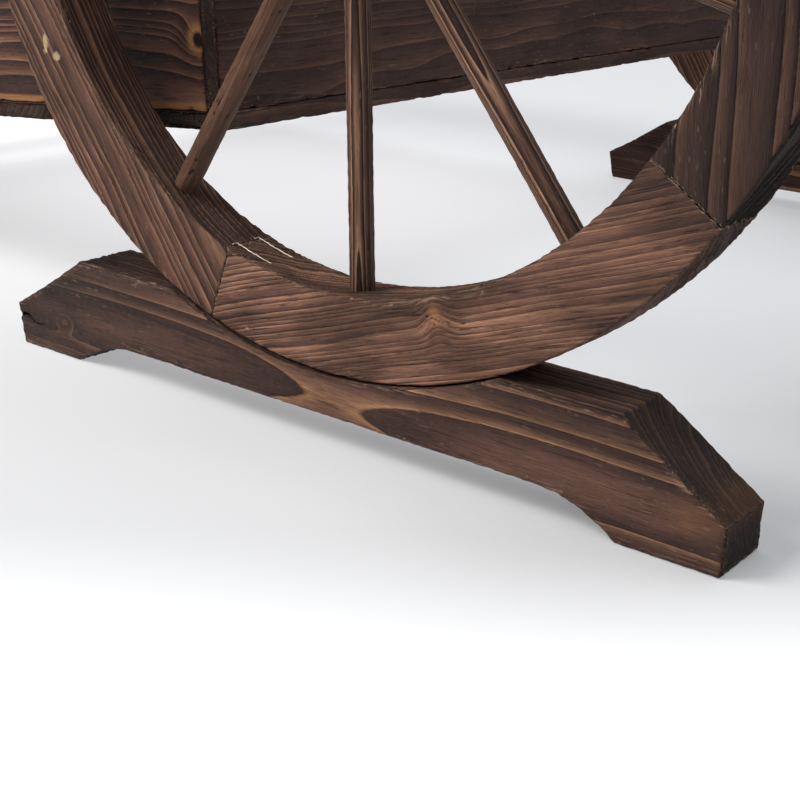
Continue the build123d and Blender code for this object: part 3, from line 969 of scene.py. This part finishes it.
def stapleWire(number, y):
    # a round wire lying on the rim's inner face, with a bent foot at its rear end; sines of different pace
    # along each axis bend it a little
    radius = wheel["radius"] - wheel["depth"] - staple["wire"] * 0.6
    angles = np.linspace(*staple["reach"], 26)
    path = hubCentre["right"] + radius * aroundWheel(angles) + np.array([0, 1, 0]) * y
    foot = path[:1] + np.linspace(1, 0.12, 5)[:, None] * np.array([[0, -staple["foot"], 0]])
    path = np.concatenate([foot, path])
    path = path + staple["bent"] * np.sin(np.arange(len(path))[:, None] * np.array([1.3, 0.7, 1.7]))
    ahead = unit(np.gradient(path, axis=0))
    across = unit(np.cross(ahead, -aroundWheel(np.asarray(-15.0))))
    wire = staple["wire"]
    grid, _ = barGrid(path, across, np.cross(across, ahead), (-wire, wire), (-wire, wire), wire * 0.99,
                      0.5 * mm, 0.3 * mm)
    piece = skin(f"rim_staple_{number}", grid, {}, stapleSteel)
    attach(piece, "right_wheel")


def steel(name, look):
    # cloudy plating between a dark and a bright tone, darker stains on its high clouds and in pits, and a
    # height of half scratches and half pits
    material, tree, shader = newMaterial(name)
    place = objectPlace(tree)
    scratches = place.stretched(look["scratches"]).noise(4.0, 0.7)
    cloud = place.noise(4.0, 0.6, 90.0)
    pits = place.noise(2.0, 0.5, 900.0)
    colour = cloud.colours([(0.30, look["dark"]), (0.72, look["bright"])])
    stains = cloud.step(0.56, 0.74) * look["stained"] + pits.step(0.62, 0.75) * 0.3
    colour = colour.towards(look["stain"], stains.clamped())
    height = scratches * 0.5 + pits * 0.5
    bump = height.bump(0.35, 0.15 * mm)
    rough = look["roughness"] + (scratches - 0.5) * 0.25 + cloud.step(0.5, 0.75) * 0.2
    rough = rough.clamped()
    connect(tree, shader, {"Base Color": colour, "Metallic": 1.0, "Roughness": rough, "Normal": bump})
    return material


axleSteel = steel("turnedAxleSteel", {
    "scratches": (900, 60, 900), "dark": (0.30, 0.29, 0.28), "bright": (0.50, 0.49, 0.48),
    "stain": (0.10, 0.055, 0.035), "stained": 0.35, "roughness": 0.34,
})
zincSteel = steel("zincPlatedSteel", {
    "scratches": (500, 500, 500), "dark": (0.38, 0.38, 0.37), "bright": (0.56, 0.55, 0.53),
    "stain": (0.20, 0.18, 0.15), "stained": 0.5, "roughness": 0.42,
})
stapleSteel = steel("brightStapleSteel", {
    "scratches": (600, 600, 600), "dark": (0.50, 0.43, 0.34), "bright": (0.74, 0.66, 0.54),
    "stain": (0.30, 0.22, 0.15), "stained": 0.2, "roughness": 0.50,
})
nodes["axle_rod"].data.materials.clear()
nodes["axle_rod"].data.materials.append(axleSteel)
for node in ("axle_washers", "axle_nuts", "box_screws", "leg_bolts"):
    nodes[node].data.materials.clear()
    nodes[node].data.materials.append(zincSteel)
for number, y in enumerate(staple["places"], 1):
    stapleWire(number, y)
print("steel and staples")


cradle = {
    "length": 443 * mm,
    "thickness": sizeOf("cradle_right")[1],
    "shoulder": 58.5 * mm,  # height of the flat shoulders, and how far from the middle they end
    "shoulderEnd": 168.5 * mm,
    "setback": 3 * mm,  # of the block's middle behind the axle
    "heelLean": 5 * mm,
    "endHeight": 23 * mm,
    "toe": 50 * mm,
    "arch": 15 * mm,  # height of the arch, and the length and power of its rise
    "archRun": 44 * mm,
    "archPower": 2.1,
    "seat": 240.4 * mm,
    "corner": 1.3 * mm,
    "soft": 1.4 * mm,
    "swell": (13 * mm, 2.5 * mm, 66 * mm),
    "tip": (33 * mm, 25 * mm),  # forward of the axle and up: where two tongues of grain meet
    "golden": (204 * mm, 23 * mm),  # likewise, and its size in mm
    "goldenSize": (26, 900, 13),
    "knot": {"right": (-186 * mm, 6 * mm, 1.9 * mm, 0.0), "left": (150 * mm, 12 * mm, 3 * mm, 0.6)},
    "crack": (17.5 * mm, 24 * mm, 14 * mm),  # in the heel: height there, its run, height at its end
    "crackSize": (1.2 * mm, 3.0 * mm),
    "spacing": {"right": 1.15 * mm, "left": 1.8 * mm},
}


def cradleTop(x):
    # the lowest of the round seat, the flat shoulder and a straight slope down to the end
    half = cradle["length"] / 2
    seat = axle[2] - np.sqrt(np.maximum(cradle["seat"] ** 2 - (x - cradle["setback"]) ** 2, 0))
    slope = (cradle["shoulder"] - cradle["endHeight"]) / (half - cradle["shoulderEnd"])
    top = np.minimum(seat, cradle["shoulder"])
    return np.minimum(top, cradle["endHeight"] + (half - np.abs(x)) * slope)


def cradleUnder(x):
    # flat toes, then a rise that slows down as a power of what is left of its run, then the arch's flat
    run = (cradle["length"] / 2 - cradle["toe"] - np.abs(x)) / cradle["archRun"]
    return cradle["arch"] * (1 - (1 - np.clip(run, 0, 1)) ** cradle["archPower"])


def cradleBlock(side):
    # x runs from the block's middle; the rear end leans back a little towards its top
    wide = centreOf(f"cradle_{side}")[1]
    middle = axle[0] - cradle["setback"]
    half = cradle["length"] / 2
    seatHalf = math.sqrt(cradle["seat"] ** 2 - (axle[2] - cradle["shoulder"]) ** 2)
    archEnd = half - cradle["toe"]
    spacing = cradle["spacing"][side] * fineness
    keys = [half - cradle["soft"], archEnd, cradle["shoulderEnd"], archEnd - cradle["archRun"], 0.0]
    keys = [-k for k in keys] + keys + [cradle["setback"] + seatHalf, cradle["setback"] - seatHalf]
    x = evenly(sorted(set(keys)), spacing)
    path = np.stack([middle + x, np.full_like(x, wide), np.zeros_like(x)], -1)
    rise = np.stack([cradleUnder(x), cradleTop(x)], -1)
    width = cradle["thickness"] / 2
    grid, edge = barGrid(path, (0, 1, 0), (0, 0, 1), (-width, width), rise, cradle["corner"], spacing,
                         cradle["soft"])
    place = grid[..., 0]
    heel = ease(middle - half + 26 * mm, middle - half, place)
    place += heel * cradle["heelLean"] * (0.5 - grid[..., 2] / cradle["endHeight"]).clip(-0.5, 0.5)
    front = wide + sideSign[side] * width
    forward, up = cradle["tip"]
    cut = {
        "centre": np.array([axle[0], front, 24 * mm]), "along": np.array([1, 0, -0.012]),
        "bark": np.array([0, sideSign[side], 0.0]), "pith": 45 * mm, "ring": 2.95 * mm, "relief": 0.6 * mm,
        "sootAndShade": 0.10, "seed": 77 if side == "right" else 177, "wander": 0.25 * mm, "ripple": 0.045,
        "nibble": 0.3 * mm, "swells": [cradle["swell"]], "knots": [cradle["knot"][side]],
        "calm": 0.45 * ease(middle - 150 * mm, middle - 190 * mm, place),
        # tops darkened, and faces turned forward and up darkened a little more as painted shade
        "sootAndShadeByFacing": [((0, 0, 1), 0.38), ((1, 0, 0.9), 0.10)],
        "tip": np.array([axle[0] + forward, front, up]),
        "sootAlong": 0.46 * ease(middle - 100 * mm, middle - 185 * mm, place),
    }
    if side == "right":
        forward, up = cradle["golden"]
        golden = (grid - axle - np.array([forward, 0, up - axle[2]])) / np.array(cradle["goldenSize"]) / mm
        cut["orange"] = 0.45 * np.exp(-(golden ** 2).sum(-1))
        heelEnd = middle - half - cradle["heelLean"] / 2
        start, run, end = cradle["crack"]
        cut["cracks"] = [((heelEnd, front, start), (heelEnd + run, front, end), *cradle["crackSize"])]
    woodPiece(f"cradle_{side}", f"{side}_cradle", grid, edge, cut, cradleWood)


for side in sideSign:
    cradleBlock(side)
print("cradles")


# box, rails and legs lie along the tilted bed
bedAlong = np.array([math.cos(bedTilt), 0, math.sin(bedTilt)])
bedUp = np.array([-math.sin(bedTilt), 0, math.cos(bedTilt)])
bedSide = np.array([0.0, 1.0, 0.0])


def onBed(a, y, c):
    # a point given along the bed, across it and up from it, measured from the axle
    a, y, c = np.broadcast_arrays(a, y, c)
    return axle + a[..., None] * bedAlong + y[..., None] * bedSide + c[..., None] * bedUp


def bedDirection(a, y, c):
    # the sum of so much along the bed, across it and up from it
    return a * bedAlong + y * bedSide + c * bedUp


def bedBox(node):
    # a node's extent along, across and up the bed
    mesh = nodes[node].data
    places = np.empty(len(mesh.vertices) * 3, np.float32)
    mesh.vertices.foreach_get("co", places)
    local = places.reshape(-1, 3) - axle
    return [(float((local @ way).min()), float((local @ way).max())) for way in (bedAlong, bedSide, bedUp)]


boards = {
    "soft": 0.9 * mm,
    "corner": 0.9 * mm,
    "notch": 44.6 * mm / 2,  # half the height of the gap over a rail, and its play on each side
    "notchSlack": 0.3 * mm,
    "hair": 0.02 * mm,  # width of the step into a notch
    "longer": 5 * mm,  # the lower front board stands out this much past the far side
    "spacing": {"near": 2.2 * mm, "front": 2.3 * mm, "post": 2.4 * mm, "other": 3.4 * mm},
}


def boardCut(node, along, bark, seed):
    # a board's grain starts from the middle of its node
    centre = onBed(*[sum(extent) / 2 for extent in bedBox(node)])
    return {
        "centre": centre, "along": along, "bark": bark, "pith": 70 * mm, "ring": 4.2 * mm,
        "relief": 0.55 * mm, "wander": 1.0 * mm, "ripple": 0.14, "seed": seed, "sootAndShade": 0.05,
    }


def lengthBoard(node, spacing, cut, material):
    # a straight piece running along the bed; above its pale lower edge the wood keeps its own colour
    a, y, c = bedBox(node)
    soft = boards["soft"]
    run = evenly([a[0] + soft, a[1] - soft], spacing * fineness)
    path = onBed(run, 0.0, 0.0)
    grid, edge = barGrid(path, bedSide, bedUp, y, c, boards["corner"], spacing * fineness, soft)
    if "pale" in cut:
        cut["orange"] = ease(4.4 * mm, 3.2 * mm, (grid - axle) @ bedUp - cut["pale"])
    woodPiece(node, "barrow", grid, edge, cut, material)


def crossBoard(node, spacing, cut, material, notch=False):
    # a piece running across the bed; over a rail its lower edge can rise to the notch
    a, y, c = bedBox(node)
    soft = boards["soft"]
    inner, outer = sorted(abs(end) for end in bedBox("rail_left")[1])
    inner, outer = inner - boards["notchSlack"], outer + boards["notchSlack"]
    last = y[1] - soft + cut.get("longer", 0)
    keys = [y[0] + soft, -outer, -inner, inner, outer, last] if notch else [y[0] + soft, last]
    run = evenly(keys, spacing * fineness)
    low = np.full_like(run, c[0])
    if notch:
        hair = boards["hair"]
        run = np.sort(np.concatenate([run, [-outer - hair, -inner + hair, inner - hair, outer + hair]]))
        inside = (np.abs(run) > inner - 0.5 * hair) & (np.abs(run) < outer + 0.5 * hair)
        low = np.where(inside, boards["notch"], c[0])
    path = onBed(0.0, run, 0.0)
    rise = np.stack([low, np.full_like(run, c[1])], -1)
    grid, edge = barGrid(path, bedAlong, bedUp, a, rise, boards["corner"], spacing * fineness, soft)
    woodPiece(node, "barrow", grid, edge, cut, material)


for side, sign in sideSign.items():
    for k, level in enumerate(("lower", "upper")):
        node = f"side_board_{side}_{level}"
        seed = 200 + 10 * k + (0 if side == "right" else 55)
        cut = boardCut(node, bedDirection(1, 0, 0.01), bedDirection(0, sign, 1.3), seed)
        spacing = boards["spacing"]["other"]
        if node == "side_board_right_lower":
            a, y, c = bedBox(node)
            cut["knotsAt"] = [(onBed(a[1] - 2.6 * mm, y[0], -88.0 * mm), 3.4 * mm, 0.85)]
            cut["pale"] = c[0]
            spacing = boards["spacing"]["near"]
        lengthBoard(node, spacing, cut, boxWood)
for k, level in enumerate(("lower", "upper")):
    for end, sign in {"front": 1, "rear": -1}.items():
        node = f"{end}_board_{level}"
        seed = 300 + 10 * k + (0 if sign > 0 else 70)
        cut = boardCut(node, bedDirection(0, 1, 0.008), bedDirection(sign, 0, 1.1), seed)
        spacing = boards["spacing"]["other"]
        if node == "front_board_lower":
            cut["longer"] = boards["longer"]
            spacing = boards["spacing"]["front"]
        wood = frontWood if end == "front" else boxWood
        crossBoard(node, spacing, cut, wood, notch=level == "upper")
for number in range(1, 5):
    node = f"bottom_board_{number}"
    cut = boardCut(node, bedDirection(0.01, 1, 0), bedDirection(0.3, 0, -1), 400 + number)
    crossBoard(node, boards["spacing"]["other"], cut, frontWood if number == 1 else boxWood)
print("box: boards")


def cornerPost(end, side):
    # stands on the box's floor; beside the rail its outer face steps in to the rail's inner one
    node = f"corner_post_{end}_{side}"
    a, y, c = bedBox(node)
    soft, notch, hair = boards["soft"], boards["notch"], boards["hair"]
    spacing = boards["spacing"]["post"] * fineness
    outer = 1 if side == "left" else 0
    run = evenly([c[0] + soft, -notch, notch, c[1] - soft], spacing)
    run = np.sort(np.concatenate([run, [-notch - hair, notch + hair]]))
    web = abs(bedBox(f"rail_{side}")[1][1 - outer]) - boards["notchSlack"]
    span = np.tile(np.array(y), (len(run), 1))
    span[np.abs(run) < notch + 0.5 * hair, outer] = sideSign[side] * web
    path = onBed(0.0, 0.0, run)
    grid, edge = barGrid(path, bedSide, -bedAlong, span, (-a[1], -a[0]), boards["corner"], spacing, soft)
    seed = 500 + (0 if end == "front" else 7) + (0 if side == "left" else 3)
    cut = boardCut(node, bedUp, bedDirection(0.5, sideSign[side], 0), seed)
    woodPiece(node, "barrow", grid, edge, cut, boxWood)


for end in ("front", "rear"):
    for side in sideSign:
        cornerPost(end, side)

rail = {
    "grip": 130 * mm,
    "gripDiameter": 27 * mm,
    "swell": 0.05,  # how much thinner the grip is at its ends
    "corner": 3.4 * mm,
    "shoulder": 9 * mm,  # length over which the bar is drawn down to the grip
    "noseSoft": 3 * mm,
    "spacing": 2.6 * mm,
}


def railBar(side):
    # a square bar whose tail is turned down to a round grip: its half sizes and its corner go over from the
    # grip's radius to the bar's own along the shoulder, and a quarter circle rounds the grip's end
    node = f"rail_{side}"
    a, y, c = bedBox(node)
    gripEnd = a[0] + rail["grip"]
    rounding = rail["gripDiameter"] / 2
    spacing = rail["spacing"] * fineness
    nose = rounding * (1 - np.cos(np.linspace(0.35, np.pi / 2, 9)))
    keys = [a[0] + rounding, gripEnd, gripEnd + rail["shoulder"], a[1] - rail["noseSoft"]]
    run = np.concatenate([a[0] + nose[:-1], evenly(keys, spacing)])
    middle, halfWide, halfTall = sum(y) / 2, (y[1] - y[0]) / 2, (c[1] - c[0]) / 2
    blend = ease(gripEnd, gripEnd + rail["shoulder"], run)
    dome = np.sqrt(np.clip(1 - (np.clip(a[0] + rounding - run, 0, rounding) / rounding) ** 2, 0.02, 1))
    swelling = rail["swell"] * np.sin((run - a[0]) / rail["grip"] * np.pi) ** 2
    gripRadius = rounding * dome * (1 + swelling - rail["swell"])
    wide, tall = (gripRadius + (size - gripRadius) * blend for size in (halfWide, halfTall))
    corner = gripRadius * 0.995 + (rail["corner"] - gripRadius) * blend
    path = onBed(run, middle, 0.0)
    span, rise = (np.stack([-size, size], -1) for size in (wide, tall))
    grid, edge = barGrid(path, bedSide, bedUp, span, rise, corner, spacing, 0.8 * mm, cornerCount=7)
    cut = {
        "centre": onBed(sum(a) / 2, middle, 0.0), "along": bedDirection(1, 0.006, 0),
        "bark": bedDirection(0, sideSign[side], 0.8), "pith": 80 * mm, "ring": 3.6 * mm, "relief": 0.6 * mm,
        "seed": 600 if side == "right" else 641, "sootAndShade": 0.04,
    }
    if side == "left":
        place = (grid - onBed(0.0, 0.0, 0.0)) @ bedAlong
        # painted shade: the far rail darkened towards its front end
        cut["sootAlong"] = 0.8 * ease(a[1] - 200 * mm, a[1] - 80 * mm, place)
    edge = edge * ease(gripEnd, gripEnd + 0.02, a[1])
    woodPiece(node, "barrow", grid, edge, cut, frameWood)


leg = {
    "lean": math.radians(10),
    "width": 44 * mm,
    "corner": 1.3 * mm,
    "behindBox": 36 * mm,
    "aboveRail": 10 * mm,
    "drop": 120 * mm,  # of the stretcher below the rails' middle
    "stretcher": (20 * mm, 40 * mm),
    "spacing": 2.3 * mm,
    "stretcherSpacing": 2.6 * mm,
}
legUp = math.sin(leg["lean"]) * bedAlong + math.cos(leg["lean"]) * bedUp
legFore = math.cos(leg["lean"]) * bedAlong - math.sin(leg["lean"]) * bedUp


def legPivot():
    # where the legs' middle line crosses that of the rails
    return onBed(bedBox("rear_board_lower")[0][0] - leg["behindBox"], 0.0, 0.0)


def legPost(side):
    # a square post leaning back; what is below the floor is moved up along the leg to the floor
    node = f"leg_{side}"
    low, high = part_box(node)
    pivot = legPivot()
    top = bedBox("rail_left")[2][1] + leg["aboveRail"]
    bottom = -pivot[2] / legUp[2]
    soft, spacing = boards["soft"], leg["spacing"] * fineness
    run = evenly([bottom - 2 * mm, top - soft], spacing)
    path = pivot + run[:, None] * legUp
    half = leg["width"] / 2
    grid, edge = barGrid(path, bedSide, legFore, (low[1], high[1]), (-half, half), leg["corner"], spacing,
                         soft)
    below = np.minimum(grid[..., 2], 0.0)
    grid = grid - (below / legUp[2])[..., None] * legUp
    cut = {
        "centre": path.mean(0) + bedSide * (low[1] + high[1]) / 2, "along": legUp,
        "bark": bedSide * sideSign[side] + 0.6 * legFore, "pith": 70 * mm, "ring": 3.4 * mm,
        "relief": 0.6 * mm, "seed": 700 if side == "right" else 733, "sootAndShade": 0.06,
        "still": grid[..., 2] < 0.4 * mm,
    }
    woodPiece(node, "barrow", grid, edge, cut, frameWood)


def legStretcher():
    # a flat bar across, standing square to the legs, its middle dropped along them
    pivot = legPivot() - leg["drop"] * legUp
    low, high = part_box("leg_stretcher")
    soft, spacing = boards["soft"], leg["stretcherSpacing"] * fineness
    path = pivot + evenly([low[1] + soft, high[1] - soft], spacing)[:, None] * bedSide
    thick, tall = leg["stretcher"]
    grid, edge = barGrid(path, legFore, legUp, (-thick / 2, thick / 2), (-tall / 2, tall / 2), 1.0 * mm,
                         spacing, soft)
    cut = {
        "centre": pivot, "along": bedSide, "bark": legFore + 0.5 * legUp, "pith": 60 * mm, "ring": 3.8 * mm,
        "relief": 0.6 * mm, "seed": 760, "sootAndShade": 0.05,
    }
    woodPiece("leg_stretcher", "barrow", grid, edge, cut, frameWood)


for side in sideSign:
    railBar(side)
    legPost(side)
legStretcher()
print("rails and legs")


floorLook = {
    "tones": ((0.790, 0.800, 0.820), (0.825, 0.838, 0.855)),
    "lit": 0.60,
    "roughness": 0.62,
    "glow": 0.34,  # painted light: the floor's glow, and what is added under the box to lift the box's shadow, to the front, and taken off in a painted shade band
    "underBox": 0.63,
    "front": 0.36,
    "shade": -0.28,
    "half": 14,  # its half size in metres, and its points along each side
    "points": 41,
}


def layFloor():
    # painted light: the floor glows though it is no lamp; its glow falls with the distance from the box,
    # lifting the box's shadow, rises past a slanted line in front and drops in a painted shade band ahead of
    # the wheels
    material, tree, shader = newMaterial("palePaper")
    place = objectPlace(tree)
    grain = place.noise(3.0, 0.5, 260.0)
    cloud = place.noise(2.0, 0.5, 1.3)
    tone = cloud.colours(list(zip((0.3, 0.7), floorLook["tones"])))
    bump = grain.bump(0.2, 0.2 * mm)
    offset = place.make("ShaderNodeVectorMath", {"operation": "SUBTRACT"}, [place, (0.0, 0.05, 0.0)])
    spread = offset.stretched((1.25, 1.5, 0))
    away = spread.make("ShaderNodeVectorMath", {"operation": "LENGTH"}, [spread], output="Value")
    # painted light: extra glow under the box lifts its shadow
    under = 1 - away.step(0.10, 0.85)
    front = (place.part(0) * 0.6 - place.part(1) * 0.8).step(0.62, 0.76)
    # painted shade: a darker band ahead of the wheels
    shade = place.part(0).step(0.42, 0.78) * (1 - place.part(0).step(0.8, 1.5)) * (1 - front)
    glow = floorLook["glow"] + under * floorLook["underBox"] + front * floorLook["front"]
    glow = tone.lit(glow - shade * -floorLook["shade"])
    connect(tree, shader, {
        "Base Color": tone.lit(floorLook["lit"]), "Roughness": floorLook["roughness"] + grain * 0.1,
        "Normal": bump, "Emission Color": glow, "Emission Strength": 1.0,
    })
    count = floorLook["points"]
    t = np.linspace(-1, 1, count) * floorLook["half"]
    x, y = np.meshgrid(t, t, indexing="ij")
    points = np.stack([x, y, np.zeros_like(x)], -1).reshape(-1, 3)
    i, j = np.meshgrid(np.arange(count - 1), np.arange(count - 1), indexing="ij")
    first, second = i * count + j, (i + 1) * count + j
    quads = np.stack([first, second, second + 1, first + 1], -1).reshape(-1)
    fillMesh("floor", points, quads, np.arange(len(quads) // 4) * 4, material)


lights = {
    "sky": (0.93, 0.95, 1.0, 1.0),
    "skyStrength": 0.40,
    "boxes": {  # offset from what they light, size, power and colour of each
        "keyLight": ((-1.9, -1.5, 2.3), 1.5, 105, (1.0, 0.975, 0.94)),
        "topLight": ((-0.2, 0.9, 3.2), 3.0, 46, (1.0, 1.0, 1.0)),
    },
}


def softBox(name, target, offset, size, power, colour):
    # a square lamp standing off from the target and facing it
    light = bpy.data.lights.new(name, "AREA")
    light.shape = "RECTANGLE"
    light.size = light.size_y = size
    light.energy = power
    light.color = colour
    lamp = bpy.data.objects.new(name, light)
    lamp.location = tuple(target + offset)
    lamp.rotation_mode = "QUATERNION"
    lamp.rotation_quaternion = (Vector(target) - Vector(target + offset)).to_track_quat("-Z", "Y")
    bpy.context.scene.collection.objects.link(lamp)


def lightRoom():
    # an even sky, and lamps facing a point at 0.3 of the near hub's height
    world = bpy.data.worlds.new("studio")
    bpy.context.scene.world = world
    world.use_nodes = True
    background = world.node_tree.nodes["Background"]
    background.inputs["Color"].default_value = lights["sky"]
    background.inputs["Strength"].default_value = lights["skyStrength"]
    target = hubCentre["right"] * np.array([1, 1, 0.3])
    for name, look in lights["boxes"].items():
        softBox(name, target, *look)


cameraPlace = {
    "fromWheel": np.array([425.9, -522.2, 0.0]) * mm,  # level distance from the right-hand hub
    "height": 271.6 * mm,
    "yaw": 36.67,
    "pitch": 20.63,
    "roll": 2.43,
    "lens": 64.7,
}


def placeCamera():
    # ahead is turned left by the yaw and down by the pitch; the level direction and the one square to both
    # are then turned about it by the roll
    yaw, pitch, roll = (math.radians(cameraPlace[k]) for k in ("yaw", "pitch", "roll"))
    ahead = Vector((-math.sin(yaw) * math.cos(pitch), math.cos(yaw) * math.cos(pitch), -math.sin(pitch)))
    level = Vector((math.cos(yaw), math.sin(yaw), 0))
    right = math.cos(roll) * level + math.sin(roll) * level.cross(ahead)
    over = right.cross(ahead)
    data = bpy.data.cameras.new("camera")
    data.sensor_width = 36
    data.lens = cameraPlace["lens"]
    data.clip_start, data.clip_end = 0.02, 60
    camera = bpy.data.objects.new("camera", data)
    place = hubCentre["right"] + cameraPlace["fromWheel"]
    camera.location = (place[0], place[1], cameraPlace["height"])
    camera.rotation_mode = "QUATERNION"
    camera.rotation_quaternion = Matrix((right, over, -ahead)).transposed().to_quaternion()
    bpy.context.scene.collection.objects.link(camera)
    bpy.context.scene.camera = camera


layFloor()
lightRoom()
placeCamera()
bpy.context.scene.view_settings.view_transform = "Standard"
print("floor, light and camera")
